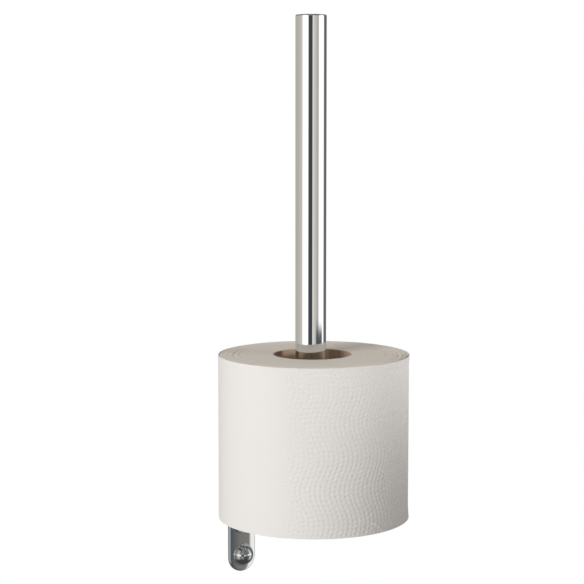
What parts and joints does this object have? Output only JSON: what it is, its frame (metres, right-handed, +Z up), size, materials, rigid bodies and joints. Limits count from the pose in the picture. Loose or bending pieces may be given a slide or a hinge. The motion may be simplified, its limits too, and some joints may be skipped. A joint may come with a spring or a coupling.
{
  "type": "toilet roll holder",
  "caption": "Wall mounted toilet roll holder: upright chromed pole on a short arm and a wall strap with domed screw caps, with a white toilet roll standing round the pole.",
  "frame": {"origin": "centre of the wall plate's back face, which lies on the wall", "axes": "+Y into the wall, +Z up along the pole, +X to the right as the wall is faced"},
  "size_m": [0.112, 0.1429, 0.3425],
  "materials": {
    "chrome": "polished",
    "zinc_steel": "satin",
    "nylon": "matte",
    "core_board": "matte",
    "tissue": "matte"
  },
  "bodies": {
    "holder": {"wall_plate": "chrome", "support_arm": "chrome", "arm_fixing_screw": "zinc_steel", "wall_screw_upper": "zinc_steel", "wall_screw_lower": "zinc_steel", "cap_seat_upper": "chrome", "cap_seat_lower": "chrome", "pole_tube": "chrome", "pole_top_cap": "chrome", "pole_foot_hub": "zinc_steel", "pole_bolt": "zinc_steel", "pole_bolt_washer": "zinc_steel", "socket_cover": "chrome", "glide_washer": "nylon"},
    "turntable": {"rest_disc": "chrome"},
    "roll": {"roll_core": "core_board", "roll_paper": "tissue", "roll_outer_sheet": "tissue"},
    "cap_upper": {"dome_cap_upper": "chrome"},
    "cap_lower": {"dome_cap_lower": "chrome"}
  },
  "joints": [
    {"name": "roll_spin", "type": "hinge", "parent": "holder", "child": "turntable", "pos_m": [0, -0.075, 0.0158], "axis": [0, 0, 1], "continuous": true},
    {"name": "roll_lift", "type": "slide", "parent": "turntable", "child": "roll", "axis": [0, 0, 1], "range_m": [0, 0.3]},
    {"name": "cap_pull_upper", "type": "slide", "parent": "holder", "child": "cap_upper", "axis": [0, -1, 0], "range_m": [0, 0.007]},
    {"name": "cap_pull_lower", "type": "slide", "parent": "holder", "child": "cap_lower", "axis": [0, -1, 0], "range_m": [0, 0.007]}
  ]
}
